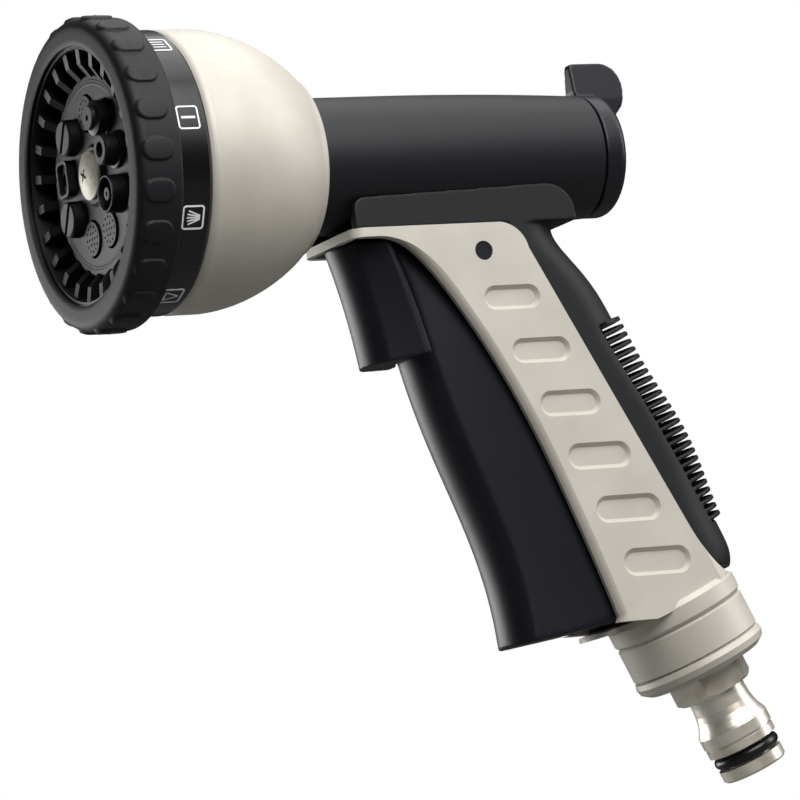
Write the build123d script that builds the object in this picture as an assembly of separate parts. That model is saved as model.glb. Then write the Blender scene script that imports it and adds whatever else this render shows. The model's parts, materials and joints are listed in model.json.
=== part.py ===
from build123d import *
import os
from math import cos, radians, sin, sqrt

# ---------------------------------------------------------------------------
# Hose spray nozzle, in millimetres.
#
# Design axes: X is the barrel axis and points to the rear, so the spray head
# faces -X; Z is up; Y runs across the handle.  The design point (0, 0, 0) is on
# the barrel axis, where the index ring meets the head shell.  The handle axis
# leaves the barrel at HANDLE_X and leans back by HANDLE_LEAN.  Distances along
# the handle axis are called s, and offsets from it towards the rear are u.
# Every part is moved on export so that the origin lies on the hose nipple's
# axis, at the middle of its sealing land.
# ---------------------------------------------------------------------------

# fits and gaps
RUNNING_FIT = 0.05

# spray head
SHELL_R = 32.34            # head shell and index ring at their joint
SHELL_FLAT = 7.87          # length of the straight front of the shell
SHELL_DOME = 34.47         # reach of the dome if it closed on the axis
SHELL_POWER = 1.76         # fullness of the dome curve
SHELL_END_X = 34.6
SHELL_WALL = 2.0
RING_FRONT_X = -19.2
RING_REAR_X = -8.4
RING_R = 35.3              # soft ring without its pads
PAD_HEIGHT = 0.6
PAD_COUNT = 24
PAD_START = 2.4            # degrees from +Y to the first pad
PAD_X = -14.4              # middle of every pad
CARRIER_R = 31.6
WELL_R = 29.1              # mouth of the ring, and the spray plate's seat
OUTLET_COUNT = 9
OUTLET_R = 14.4            # pitch radius of the spray outlets
OUTLET_START = 8.0         # degrees from +Y to the first outlet
PLATE_FACE_X = -14.6
PLATE_REAR_X = -10.6
BACK_PLATE_REAR_X = -7.7
CLICK_R = 23.0             # pitch radius of the click ball and its dimples
PORT_SCREW_R = 18.0        # pitch radius of the screws behind the port plate
HUB_FACE_X = -15.3         # raised hub under the turret screw
PORT_FACE_X = -7.3
POST_R = 5.0               # fixed post that the turret turns on

# barrel
BARREL_R = 15.9
BARREL_REAR_R = 14.45
BARREL_REAR_X = 108.5
SLEEVE_FRONT_X = 26.0
CORE_R = 11.0              # water tube inside the barrel
CORE_BORE_R = 8.5
CORE_REAR_X = 104.5
KNOB_R = 14.4
KNOB_FRONT_X = 109.1
KNOB_REAR_X = 114.8
SPINDLE_R = 3.0

# handle
HANDLE_X = 72.6
HANDLE_LEAN = 23.0
TUBE_R = 7.0
TUBE_BORE_R = 5.0
CHEEK_Y = 14.3             # outer face of the frame's cheeks
CHEEK_INNER_Y = 11.7
GRIP_Y = 13.3              # side of the soft grip
FRAME_TOP_Z = -17.1
STRAP_BOTTOM_Z = -19.2
CHEEK_BEVEL = 2.0          # rounding of the frame's front edge

# trigger
PIVOT_X = 73.5
PIVOT_Z = -23.6
PIN_R = 2.0
PIN_CAP_R = 2.2
LEVER_Y = 10.8
LEVER_INNER_Y = 8.6

# valve in the handle
VALVE_Z = -42.0
VALVE_R = 8.5
VALVE_BORE_R = 6.0
VALVE_CAP_R = 6.4           # the plug's cap passes in front of the handle tube
VALVE_FRONT_X = 79.0
VALVE_PLUG_END_X = 102.0
VALVE_REAR_X = 100.8
SEAT_REAR_X = 87.6
RISER_X = 83.4
RISER_R = 4.6
RISER_BORE_R = 2.6
STEM_R = 2.2

# hose end, as distances s along the handle axis
BEAD_TOP_S = 114.4
COLLAR_TOP_S = 119.9
COLLAR_GROOVE_S = 128.7
COLLAR_END_S = 133.2
COLLAR_R = 15.95
TUBE_END_S = 122.5
HEX_END_S = 138.8
TIP_TOP_S = 156.35
TIP_END_S = 159.3
TIP_R = 7.95
TIP_CHAMFER = 0.5

lean_sin = sin(radians(HANDLE_LEAN))
lean_cos = cos(radians(HANDLE_LEAN))
handle_plane = Plane(
    origin=(HANDLE_X, 0, 0),
    x_dir=(lean_cos, 0, lean_sin),
    z_dir=(lean_sin, 0, -lean_cos),
)
nipple_s = (TIP_TOP_S + TIP_END_S) / 2
origin_shift = Location((-(HANDLE_X + nipple_s * lean_sin), 0, nipple_s * lean_cos))


# --- helpers ---------------------------------------------------------------

def save(name, solid):
    """Move a finished part so that the hose nipple is at the origin, and write it."""
    export_step(origin_shift * solid, f"parts/{name}.step")


def turned(points):
    """Solid of revolution about the barrel axis from (x, radius) points."""
    outline = Polyline(*[(x, 0, r) for x, r in points], close=True)
    return revolve(make_face(outline), Axis.X, 360)


def turned_on_handle(points):
    """Solid of revolution about the handle axis from (radius, s) points."""
    outline = Polyline(*[(r, 0, s) for r, s in points], close=True)
    return handle_plane * revolve(make_face(outline), Axis.Z, 360)


def rod_x(radius, x0, x1, y=0.0, z=0.0):
    """Cylinder along X from x0 to x1."""
    axis = Plane(origin=(x0, y, z), x_dir=(0, 1, 0), z_dir=(1, 0, 0))
    return axis * Cylinder(radius, x1 - x0, align=(Align.CENTER, Align.CENTER, Align.MIN))


def pipe_x(outer, inner, x0, x1, y=0.0, z=0.0):
    """Round pipe along X."""
    return rod_x(outer, x0, x1, y, z) - rod_x(inner, x0, x1, y, z)


def rod_y(radius, y0, y1, x, z):
    """Cylinder along Y from y0 to y1."""
    axis = Plane(origin=(x, y0, z), x_dir=(1, 0, 0), z_dir=(0, 1, 0))
    return axis * Cylinder(radius, y1 - y0, align=(Align.CENTER, Align.CENTER, Align.MIN))


def rod_s(radius, s0, s1):
    """Cylinder on the handle axis from s0 to s1."""
    bar = Cylinder(radius, s1 - s0, align=(Align.CENTER, Align.CENTER, Align.MIN))
    return handle_plane * Pos(0, 0, s0) * bar


def block(x0, x1, y0, y1, z0, z1):
    """Box between two corners."""
    box = Box(x1 - x0, y1 - y0, z1 - z0)
    return Pos((x0 + x1) / 2, (y0 + y1) / 2, (z0 + z1) / 2) * box


def side_slab(points, y0, y1):
    """Straight-sided outline in the XZ plane, extruded from y0 to y1."""
    face = make_face(Polyline(*[(x, y0, z) for x, z in points], close=True))
    return extrude(face, amount=y1 - y0, dir=(0, 1, 0))


def on_handle(s, u):
    """(x, z) of the point at distance s along the handle axis and offset u behind it."""
    return HANDLE_X + s * lean_sin + u * lean_cos, -s * lean_cos + u * lean_sin


def around(count, start=0.0):
    """Equal steps of rotation about the barrel axis, measured from +Y towards +Z."""
    return [start + 360.0 * step / count for step in range(count)]


def at_angle(radius, degrees):
    """(y, z) at a radius and an angle from +Y towards +Z."""
    return radius * cos(radians(degrees)), radius * sin(radians(degrees))


# --- spray head ------------------------------------------------------------

def dome_radius(x, inset=0.0):
    """Outside radius of the head shell at x, less an inset for its inside."""
    if x <= SHELL_FLAT:
        return SHELL_R - inset
    part = (x - SHELL_FLAT) / (SHELL_DOME - inset)
    return (SHELL_R - inset) * sqrt(1 - part**SHELL_POWER)


def head_shell():
    """Domed cover behind the turret, closed on to the barrel sleeve."""
    steps = [SHELL_FLAT + (SHELL_END_X - SHELL_FLAT) * k / 14 for k in range(15)]
    inner_steps = [x for x in steps if x < SHELL_END_X - SHELL_WALL]
    outer_curve = Spline(*[(x, 0, dome_radius(x)) for x in steps], tangents=[(1, 0, 0), (0.42, 0, -1)])
    inner_curve = Spline(*[(x, 0, dome_radius(x, SHELL_WALL)) for x in inner_steps])
    inner_end_x = inner_steps[-1]
    inner_end_r = dome_radius(inner_end_x, SHELL_WALL)
    lip_r = SHELL_R - 0.8
    edges = [
        Line((2.3, 0, SHELL_R), (SHELL_FLAT, 0, SHELL_R)),
        outer_curve,
        Line((SHELL_END_X, 0, dome_radius(SHELL_END_X)), (SHELL_END_X, 0, BARREL_R)),
        Line((SHELL_END_X, 0, BARREL_R), (inner_end_x, 0, BARREL_R)),
        Line((inner_end_x, 0, BARREL_R), (inner_end_x, 0, inner_end_r)),
        inner_curve,
        Line((SHELL_FLAT, 0, SHELL_R - SHELL_WALL), (0.1, 0, SHELL_R - SHELL_WALL)),
        Line((0.1, 0, SHELL_R - SHELL_WALL), (0.1, 0, lip_r)),
        ThreePointArc((0.1, 0, lip_r), (0.8, 0, SHELL_R - 0.23), (2.3, 0, SHELL_R)),
    ]
    return revolve(make_face(edges), Axis.X, 360)


def index_ring():
    """Hard ring that carries the setting marks, the soft ring and the spray plate."""
    return turned([
        (-18.6, CARRIER_R - 0.2),
        (RING_REAR_X, CARRIER_R - 0.2),
        (RING_REAR_X, SHELL_R),
        (-0.9, SHELL_R),
        (-0.5, SHELL_R - 0.4),
        (-0.5, WELL_R),
        (-18.6, WELL_R),
    ])


def grip_pad(degrees):
    """One raised stadium pad on the soft ring."""
    pad = extrude(SlotOverall(7.4, 4.9), amount=RING_R + PAD_HEIGHT)
    pad = pad - rod_x(RING_R - 1.5, -10, 10)
    outer = pipe_x(RING_R + 9, RING_R + PAD_HEIGHT, -10, 10)
    return Rot(degrees - 90, 0, 0) * Pos(PAD_X, 0, 0) * (pad - outer)


def soft_ring():
    """Soft-touch ring moulded over the carrier, with raised finger pads."""
    ring = turned([
        (RING_FRONT_X, WELL_R),
        (RING_FRONT_X, RING_R),
        (RING_REAR_X, RING_R),
        (RING_REAR_X, CARRIER_R - 0.2),
        (-18.6, CARRIER_R - 0.2),
        (-18.6, WELL_R),
    ])
    widest = ring.edges().filter_by(GeomType.CIRCLE).sort_by(lambda e: e.radius)[-2:]
    ring = fillet(widest.sort_by(Axis.X)[0], 2.6)
    widest = ring.edges().filter_by(GeomType.CIRCLE).sort_by(lambda e: e.radius)[-2:]
    ring = fillet(widest.sort_by(Axis.X)[-1], 0.8)
    for degrees in around(PAD_COUNT, PAD_START):
        ring = ring + grip_pad(degrees)
    return ring


def outlet_spots():
    """(y, z) of every spray outlet, in order from the first angle."""
    return [at_angle(OUTLET_R, degrees) for degrees in around(OUTLET_COUNT, OUTLET_START)]


JET, RING_JET, DISC_JET = 3, 4, 5
FAN_A, FAN_B, SQUARE = 1, 8, 0
ROSES = (2, 6, 7)
BOSS_SOCKET_R = 3.0
ROSE_R = 3.9               # raised disc of a spray rose
FIN_THICK = 1.95
SLOT_ANGLE = 122.0         # direction of the fan slots, from +Y towards +Z


def spray_plate():
    """Front plate: deep channel with radial fins, a shallow dish, a hub and the outlet field."""
    plate = turned([
        (PLATE_REAR_X, 0.0),
        (HUB_FACE_X, 0.0),
        (HUB_FACE_X, 6.4),
        (PLATE_FACE_X, 7.2),
        (PLATE_FACE_X, 22.4),
        (-14.0, 23.5),
        (-11.8, 23.8),
        (-11.8, 28.0),
        (-18.2, 28.4),
        (-18.2, WELL_R),
        (PLATE_REAR_X, WELL_R),
    ])
    fin = side_slab([(-12.4, 22.0), (PLATE_FACE_X, 22.0), (-17.2, 25.0), (-17.6, 28.6), (-12.4, 28.6)],
                    -FIN_THICK / 2, FIN_THICK / 2)
    for degrees in around(PAD_COUNT, PAD_START + 7.5):
        plate = plate + Rot(degrees - 90, 0, 0) * fin
    plate = plate - rod_x(POST_R + RUNNING_FIT, -20, 0)
    spots = outlet_spots()
    for index in (JET, RING_JET, DISC_JET, FAN_A, FAN_B, SQUARE):
        plate = plate - rod_x(BOSS_SOCKET_R, -20, -5, *spots[index])
    for index in ROSES:
        plate = plate - pipe_x(ROSE_R + 0.5, ROSE_R, -20, PLATE_FACE_X + 1.2, *spots[index])
        plate = plate + rod_x(ROSE_R, PLATE_FACE_X - 0.5, PLATE_FACE_X + 1.2, *spots[index])
        plate = plate - rose_holes(*spots[index])
    return plate


def rose_holes(y, z):
    """A round field of fine holes: one in the middle and two rings around it."""
    holes = [rod_x(0.32, -20, -5, y, z)]
    for count, radius in ((6, 1.45), (12, 2.9)):
        for step in range(count):
            dy, dz = at_angle(radius, 360 / count * step)
            holes.append(rod_x(0.32, -20, -5, y + dy, z + dz))
    return Compound(children=holes)


def insert_on(spot, points, bore):
    """A nozzle insert: its turned head on the plate's face, its tail in the plate's socket."""
    y, z = spot
    head = Pos(0, y, z) * turned(points)
    tail = rod_x(BOSS_SOCKET_R, PLATE_FACE_X, PLATE_REAR_X, y, z)
    return head + tail - rod_x(bore, -20, -5, y, z)


def jet_insert(spot):
    """Tall stepped nozzle with one fine hole."""
    points = [(PLATE_FACE_X, 0), (PLATE_FACE_X, 4.4), (-15.2, 4.4), (-15.3, 3.95),
              (-17.4, 3.95), (-17.9, 2.8), (-18.8, 2.6), (-18.8, 0)]
    return insert_on(spot, points, 0.7)


def ring_insert(spot):
    """Tall round nozzle with a wide mouth on a stepped foot."""
    points = [(PLATE_FACE_X, 0), (PLATE_FACE_X, 4.3), (-15.6, 4.2), (-15.8, 3.7),
              (-18.7, 3.4), (-19.0, 3.1), (-19.0, 0)]
    return insert_on(spot, points, 1.8)


def cone_insert(spot):
    """Wide round nozzle with a swirl disc set in its mouth."""
    y, z = spot
    points = [(PLATE_FACE_X, 0), (PLATE_FACE_X, 4.4), (-18.0, 4.2), (-18.3, 4.05), (-18.3, 3.75),
              (-16.4, 3.6), (-16.4, 1.6), (-17.7, 1.6), (-17.9, 1.4), (-17.9, 0)]
    return insert_on(spot, points, 0.5)


def fan_insert(spot):
    """Flat-faced round nozzle cut by a deep slot that makes a flat fan."""
    y, z = spot
    points = [(PLATE_FACE_X, 0), (PLATE_FACE_X, 4.25), (-16.9, 4.1), (-17.3, 3.7), (-17.3, 0)]
    slot = Pos(-16.8, y, z) * Rot(SLOT_ANGLE, 0, 0) * Box(3.0, 10, 1.3)
    return insert_on(spot, points, 0.6) - slot


def square_insert(spot):
    """Rounded oblong nozzle with a sunk face and a round mouth."""
    y, z = spot
    head = block(-16.5, PLATE_FACE_X, y - 3.0, y + 3.0, z - 4.2, z + 4.2)
    head = fillet(head.edges().filter_by(Axis.X), 1.6)
    sink = block(-17, -15.5, y - 2.3, y + 2.3, z - 3.5, z + 3.5)
    head = head - fillet(sink.edges().filter_by(Axis.X), 1.2)
    tail = rod_x(BOSS_SOCKET_R, PLATE_FACE_X, PLATE_REAR_X, y, z)
    return head + tail - rod_x(1.6, -20, -5, y, z)


def back_plate():
    """Rear half of the turret: a port behind every outlet and a ring of click dimples."""
    plate = turned([
        (PLATE_REAR_X, POST_R + RUNNING_FIT),
        (PLATE_REAR_X, WELL_R),
        (BACK_PLATE_REAR_X, WELL_R),
        (BACK_PLATE_REAR_X, POST_R + RUNNING_FIT),
    ])
    for y, z in outlet_spots():
        plate = plate - rod_x(2.2, -12, -5, y, z)
    for degrees in around(OUTLET_COUNT, OUTLET_START):
        y, z = at_angle(CLICK_R, degrees)
        plate = plate - Pos(BACK_PLATE_REAR_X + 1.0, y, z) * Sphere(1.5)
    return plate


def port_plate():
    """Fixed plate behind the turret: post, outlet port, click pocket and skirt."""
    plate = turned([
        (-13.6, 0.0),
        (-13.6, POST_R),
        (PORT_FACE_X, POST_R),
        (PORT_FACE_X, 28.5),
        (1.6, 28.5),
        (1.6, SHELL_R - SHELL_WALL),
        (5.2, SHELL_R - SHELL_WALL),
        (5.2, 26.2),
        (-3.2, 26.2),
        (-3.2, 0.0),
    ])
    y, z = outlet_spots()[ROSES[0]]
    plate = plate - rod_x(2.2, -12, 0, y, z) - rod_x(4.0, PORT_FACE_X - 1, PORT_FACE_X + 1.6, y, z)
    y, z = at_angle(CLICK_R, OUTLET_START)
    plate = plate - rod_x(1.6, PORT_FACE_X - 1, -3.9, y, z)
    for degrees in around(3, 30):
        plate = plate - rod_x(1.3, -20, 0, *at_angle(PORT_SCREW_R, degrees))
    plate = plate - pipe_x(POST_R + 1, 4.2, -9.7, -8.7)
    return plate - rod_x(1.9, -20, -3.2)


def outlet_seal():
    """Rubber ring round the fixed port, pressed towards the turret."""
    y, z = outlet_spots()[ROSES[0]]
    return pipe_x(3.95, 2.2, PORT_FACE_X - 0.2, PORT_FACE_X + 1.6, y, z)


def click_ball():
    """Steel ball that clicks into the turret's dimples, shown pressed in."""
    y, z = at_angle(CLICK_R, OUTLET_START)
    return Pos(BACK_PLATE_REAR_X + 1.6, y, z) * Sphere(1.45)


def coil(radius, wire, x0, x1, turns, y=0.0, z=0.0):
    """Round-wire compression spring along X."""
    pitch = (x1 - x0 - wire * 2) / turns
    path = Helix(pitch, pitch * turns, radius)
    start = Plane(origin=path @ 0, z_dir=path % 0)
    wire_solid = sweep(start * Circle(wire), path)
    return Pos(x0 + wire, y, z) * Rot(0, 90, 0) * wire_solid


SCREW_SEAT_X = -15.7


def turret_screw():
    """Domed screw in the middle of the spray plate, threaded into the fixed post."""
    shank = rod_x(1.9, -14.6, -4.2)
    head = Pos(-17.5 + 12.0, 0, 0) * Sphere(12.0) & rod_x(5.5, -18.0, SCREW_SEAT_X)
    cross = block(-18, -16.6, -1.5, 1.5, -0.35, 0.35) + block(-18, -16.6, -0.35, 0.35, -1.5, 1.5)
    return shank + head + rod_x(3.2, SCREW_SEAT_X, -13.8) - Rot(30, 0, 0) * cross


def screw_washer():
    """Flat washer under the turret screw."""
    return pipe_x(4.6, 3.25, SCREW_SEAT_X, SCREW_SEAT_X + 0.4)


def post_o_ring():
    """Seal between the fixed post and the turret."""
    ring = Torus(POST_R - 0.37, 0.4)
    return Pos(-9.2, 0, 0) * Rot(0, 90, 0) * ring


# --- barrel ----------------------------------------------------------------

def sleeve_outline_solid():
    """Solid of the barrel sleeve's outside, slightly crowned towards the rear."""
    edges = [
        Line((SLEEVE_FRONT_X, 0, 0), (SLEEVE_FRONT_X, 0, BARREL_R)),
        Line((SLEEVE_FRONT_X, 0, BARREL_R), (56, 0, BARREL_R)),
        ThreePointArc((56, 0, BARREL_R), (84, 0, 15.48), (BARREL_REAR_X, 0, BARREL_REAR_R)),
        Line((BARREL_REAR_X, 0, BARREL_REAR_R), (BARREL_REAR_X, 0, 0)),
        Line((BARREL_REAR_X, 0, 0), (SLEEVE_FRONT_X, 0, 0)),
    ]
    return revolve(make_face(edges), Axis.X, 360)


def barrel_sleeve():
    """Outer sleeve of the barrel, open below for the riser."""
    sleeve = sleeve_outline_solid() - rod_x(CORE_R, SLEEVE_FRONT_X - 1, CORE_REAR_X + 2.1)
    sleeve = sleeve - rod_x(8.2, CORE_REAR_X, BARREL_REAR_X + 1)
    riser = Pos(RISER_X, 0, -13) * Cylinder(RISER_R, 12)
    return sleeve - riser


def water_body():
    """One moulding for the water: barrel tube, riser, valve chamber and handle tube."""
    front_flange = rod_x(21.0, -3.2, 0.4)
    body = rod_x(CORE_R, -3.2, CORE_REAR_X) + front_flange
    body = body + Pos(RISER_X, 0, VALVE_Z / 2) * Cylinder(RISER_R, -VALVE_Z)
    body = body + rod_x(VALVE_R, VALVE_FRONT_X, VALVE_REAR_X, 0, VALVE_Z)
    body = body + rod_s(TUBE_R, 46.0, TUBE_END_S)
    body = body - rod_x(CORE_BORE_R, -4, CORE_REAR_X + 1)
    body = body - rod_x(VALVE_BORE_R, SEAT_REAR_X, VALVE_REAR_X + 1, 0, VALVE_Z)
    body = body - rod_x(VALVE_BORE_R, VALVE_FRONT_X + 2.6, SEAT_REAR_X - 1.6, 0, VALVE_Z)
    body = body - rod_x(3.6, SEAT_REAR_X - 2, SEAT_REAR_X + 1, 0, VALVE_Z)
    body = body - rod_x(STEM_R + RUNNING_FIT, VALVE_FRONT_X - 1, VALVE_FRONT_X + 3, 0, VALVE_Z)
    body = body - Pos(RISER_X, 0, -24) * Cylinder(RISER_BORE_R, 34)
    body = body - rod_s(TUBE_BORE_R, 51.0, TUBE_END_S + 1)
    body = body - gland_groove()
    for degrees in around(3, 30):
        body = body - rod_x(1.0, -4, -0.2, *at_angle(PORT_SCREW_R, degrees))
    return body


def gland_groove():
    """Groove for the stem's O-ring in the chamber's front wall."""
    return rod_x(3.9, VALVE_FRONT_X + 0.5, VALVE_FRONT_X + 2.1, 0, VALVE_Z)


def port_screws():
    """Three screws that hold the port plate on the water body's flange."""
    screws = []
    for degrees in around(3, 30):
        y, z = at_angle(PORT_SCREW_R, degrees)
        screws.append(rod_x(1.0, -5.9, -0.2, y, z) + rod_x(1.3, -6.9, -5.9, y, z))
    return Compound(children=screws)


def barrel_plug():
    """Plug in the rear of the water tube, with the bearing for the flow spindle."""
    plug = rod_x(CORE_BORE_R, 98.5, CORE_REAR_X) + rod_x(CORE_R, CORE_REAR_X, 106.6)
    plug = plug - rod_x(SPINDLE_R + RUNNING_FIT, 97, 108)
    return plug - rod_x(4.6, 100.6, 102.2)


def spindle_o_ring():
    """Seal round the flow spindle, held in the barrel plug."""
    return Pos(101.4, 0, 0) * Rot(0, 90, 0) * Torus(3.82, 0.75)


def flow_spindle():
    """Spindle of the flow control with the curved gate that covers the riser's port."""
    gate = pipe_x(8.3, 6.9, 77.5, 90.5)
    wedge = side_wedge(70, 77.5, 90.5)
    gate = gate & wedge
    web = block(89.0, 90.5, -7.5, 0, -2.0, 2.0)
    hub = rod_x(SPINDLE_R, 87.0, 112.0)
    return hub + gate + web


def side_wedge(degrees, x0, x1):
    """Sector of the barrel about -Y, used to trim the gate."""
    half = radians(degrees / 2)
    far = 14.0
    corners = [(0.0, 0.0), (-far * cos(half), far * sin(half)), (-far * cos(half), -far * sin(half))]
    face = make_face(Polyline(*[(x0, y, z) for y, z in corners], close=True))
    return extrude(face, amount=x1 - x0, dir=(1, 0, 0))


FIN_FOOT = 2.6              # half thickness of the thumb fin at its foot


def flow_knob():
    """Rear cap that turns on the barrel axis, with a thumb fin on top."""
    cap = rod_x(KNOB_R, KNOB_FRONT_X, KNOB_REAR_X)
    rear_edge = cap.edges().filter_by(GeomType.CIRCLE).sort_by(Axis.X)[-1]
    cap = fillet(rear_edge, 2.2)
    y = -FIN_FOOT
    edges = [
        Line((KNOB_FRONT_X, y, 4.0), (KNOB_FRONT_X, y, 14.9)),
        Line((KNOB_FRONT_X, y, 14.9), (108.8, y, 15.1)),
        Line((108.8, y, 15.1), (108.8, y, 21.3)),
        ThreePointArc((108.8, y, 21.3), (109.1, y, 22.0), (109.8, y, 22.3)),
        Line((109.8, y, 22.3), (116.0, y, 22.3)),
        Spline((116.0, y, 22.3), (118.4, y, 22.0), (120.7, y, 20.4), (122.0, y, 17.1), (121.9, y, 14.5),
               (121.0, y, 11.5), tangents=[(1, 0, 0), (-0.4, 0, -1)]),
        Line((121.0, y, 11.5), (118.2, y, 8.4)),
        ThreePointArc((118.2, y, 8.4), (115.6, y, 6.4), (114.4, y, 4.0)),
        Line((114.4, y, 4.0), (KNOB_FRONT_X, y, 4.0)),
    ]
    fin = extrude(make_face(edges), amount=2 * FIN_FOOT, dir=(0, 1, 0))
    taper = [(-FIN_FOOT, 0), (-FIN_FOOT, 13.5), (-1.1, 23), (1.1, 23), (FIN_FOOT, 13.5), (FIN_FOOT, 0)]
    wedge = make_face(Polyline(*[(100, side, z) for side, z in taper], close=True))
    fin = fin & extrude(wedge, amount=30, dir=(1, 0, 0))
    knob = cap + fin
    knob = knob - rod_x(SPINDLE_R, 100, 112.0) - rod_x(1.3, 111, 113.6)
    return knob - rod_x(3.4, 113.4, 120)


def knob_screw():
    """Countersunk screw that holds the knob on its spindle."""
    screw = rod_x(1.3, 112.0, 113.4) + rod_x(3.3, 113.4, 114.6)
    return screw - block(114.0, 115, -0.4, 0.4, -2.2, 2.2) - block(114.0, 115, -2.2, 2.2, -0.4, 0.4)


# --- handle frame ----------------------------------------------------------

def front_curve(y):
    """Front edge of a cheek, from the web up to the strap."""
    return Spline((97.0, y, -110.0), (93.3, y, -98.3), (89.4, y, -86.8), (82.4, y, -68.0),
                  (64.6, y, -33.6), (56.7, y, -23.4), (47.0, y, STRAP_BOTTOM_Z),
                  tangents=[(-0.3, 0, 1), (-1, 0, 0)])


CLEAR = 0.3                 # how far a cut passes beyond the surface it leaves


def bevel_section(depth):
    """All that is cut away ahead of a cheek's rounded front edge, at a depth below its face."""
    y = -CHEEK_Y + depth
    inward = CHEEK_BEVEL - max(depth, 0)
    setback = CHEEK_BEVEL - sqrt(CHEEK_BEVEL**2 - inward**2) - min(depth, 0)
    if depth > CHEEK_BEVEL:
        setback = -CLEAR
    edge = front_curve(y)
    points = []
    for step in range(13):
        part = step / 12
        along = edge % part
        fade = min(1.0, (1 - part) * 6)
        shift = setback * fade - CLEAR * (1 - fade)
        point = edge @ part
        points.append((point.X + along.Z * shift, y, point.Z - along.X * shift))
    first_x, last_z = points[0][0], points[-1][2]
    return make_face([
        Spline(*points),
        Line(points[-1], (20, y, last_z)),
        Line((20, y, last_z), (20, y, -111.0)),
        Line((20, y, -111.0), (first_x, y, -111.0)),
        Line((first_x, y, -111.0), points[0]),
    ])


def front_bevel():
    """Cut that rounds the front edge of both cheeks."""
    cut = loft([bevel_section(depth) for depth in (-0.1, 0.25, 0.9, CHEEK_BEVEL + CLEAR)])
    return cut + mirror(cut, Plane.XZ)


def cheek_face(y):
    """Side outline of the painted frame at a given y."""
    rear_x, rear_z = on_handle(BEAD_TOP_S + 3, 15.4)
    front_x, front_z = on_handle(BEAD_TOP_S + 1, -14.6)
    corner_b = (85.2, y, -23.4)
    rear_low = (108.4, y, -71.2)
    back_end = (127.0, y, -101.0)
    edges = [
        Line((41.0, y, FRAME_TOP_Z), (78.6, y, FRAME_TOP_Z)),
        ThreePointArc((78.6, y, FRAME_TOP_Z), (82.7, y, -18.9), corner_b),
        Line(corner_b, rear_low),
        Spline(rear_low, (112.0, y, -78.6), (116.4, y, -87.6), (121.4, y, -96.4), back_end,
               tangents=[(23.2, 0, -47.8), (1.0, 0, -0.42)]),
        Line(back_end, (rear_x, y, -101.0)),
        Line((rear_x, y, -101.0), (rear_x, y, rear_z)),
        Line((rear_x, y, rear_z), (front_x, y, front_z)),
        Line((front_x, y, front_z), (93.2, y, -114.3)),
        ThreePointArc((93.2, y, -114.3), (92.4, y, -113.9), (92.5, y, -112.9)),
        ThreePointArc((92.5, y, -112.9), (95.5, y, -112.1), (97.0, y, -110.0)),
        front_curve(y),
        Line((47.0, y, STRAP_BOTTOM_Z), (41.0, y, STRAP_BOTTOM_Z)),
        Line((41.0, y, STRAP_BOTTOM_Z), (41.0, y, FRAME_TOP_Z)),
    ]
    return make_face(edges)


TONGUE_FRONT_X = 94.4
TONGUE_R = 12.0             # plan radius of the tongue between the cheeks, under the lever


def frame_outside():
    """Outside of the painted frame: two flat cheeks that run into the round collar seat."""
    body = extrude(cheek_face(-CHEEK_Y), amount=2 * CHEEK_Y, dir=(0, 1, 0))
    body = body - front_bevel()
    plan = block(41.0, 160, -CHEEK_Y, CHEEK_Y, -140, 0)
    body = body & fillet(plan.edges().filter_by(Axis.Z).sort_by(Axis.X)[:2], 3.6)
    tongue = Pos(TONGUE_FRONT_X + TONGUE_R, 0, -114) * Cylinder(TONGUE_R, 12)
    body = body - (block(80, 106.5, -20, 20, -118, -111.2) - tongue)
    rear_trim = rod_s(16.0, 100.0, COLLAR_TOP_S + 20) + side_slab(
        [(30, 0), (30, -130), (119.5, -130), (119.5, -98), (126, -60), (126, 0)], -20, 20)
    body = body & rear_trim
    bead = turned_on_handle([(0, BEAD_TOP_S), (15.4, BEAD_TOP_S), (16.2, BEAD_TOP_S + 1.2),
                             (16.2, COLLAR_TOP_S - 0.8), (15.5, COLLAR_TOP_S), (0, COLLAR_TOP_S)])
    return body + bead


def frame_space():
    """Everything cut out of the frame's middle: lever, tube, grip and valve space."""
    middle = side_slab(
        [(42.6, -10), (42.6, -24), (84.0, -104.5), (84.0, -113.7), (96.0, -112.6), (112.6, -108.6),
         (117.0, -101.2), (140, -101.2), (140, -10)], -CHEEK_INNER_Y, CHEEK_INNER_Y)
    return middle + rod_s(TUBE_R, 80, 140)


RECESS_DEPTH = 0.95


def recess(index):
    """One of the six sunk ovals on a cheek, growing a little towards the hose."""
    x = 79.3 + 5.76 * index
    z = -34.7 - 12.62 * index
    length = 14.5 + 0.64 * index
    height = 5.7 + 0.16 * index
    mouth = Plane(origin=(x, -CHEEK_Y - 0.1, z), x_dir=(1, 0, 0), z_dir=(0, 1, 0))
    floor = Plane(origin=(x, -CHEEK_Y + RECESS_DEPTH, z), x_dir=(1, 0, 0), z_dir=(0, 1, 0))
    slope = 2 * RECESS_DEPTH
    cut = loft([
        mouth * SlotOverall(length + 0.2, height + 0.2),
        floor * SlotOverall(length - slope, height - slope),
    ])
    return cut + mirror(cut, Plane.XZ)


def frame_whole(outside):
    """Both halves of the painted frame as one body, before the split."""
    frame = outside - frame_space()
    for index in range(6):
        frame = frame - recess(index)
    frame = frame - rod_y(PIN_R, -15, 15, PIVOT_X, PIVOT_Z)
    for sign in (-1, 1):
        y0, y1 = sorted((sign * 12.9, sign * 16))
        frame = frame - rod_y(PIN_CAP_R + 0.05, y0, y1, PIVOT_X, PIVOT_Z)
    return frame


def frame_half(frame, sign):
    """Left (-1) or right (+1) half of the painted frame."""
    return frame & block(20, 160, min(0, 20 * sign), max(0, 20 * sign), -140, 0)


def pivot_pin():
    """Steel pin that the trigger turns on."""
    return rod_y(PIN_R, -12.8, 12.8, PIVOT_X, PIVOT_Z)


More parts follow.
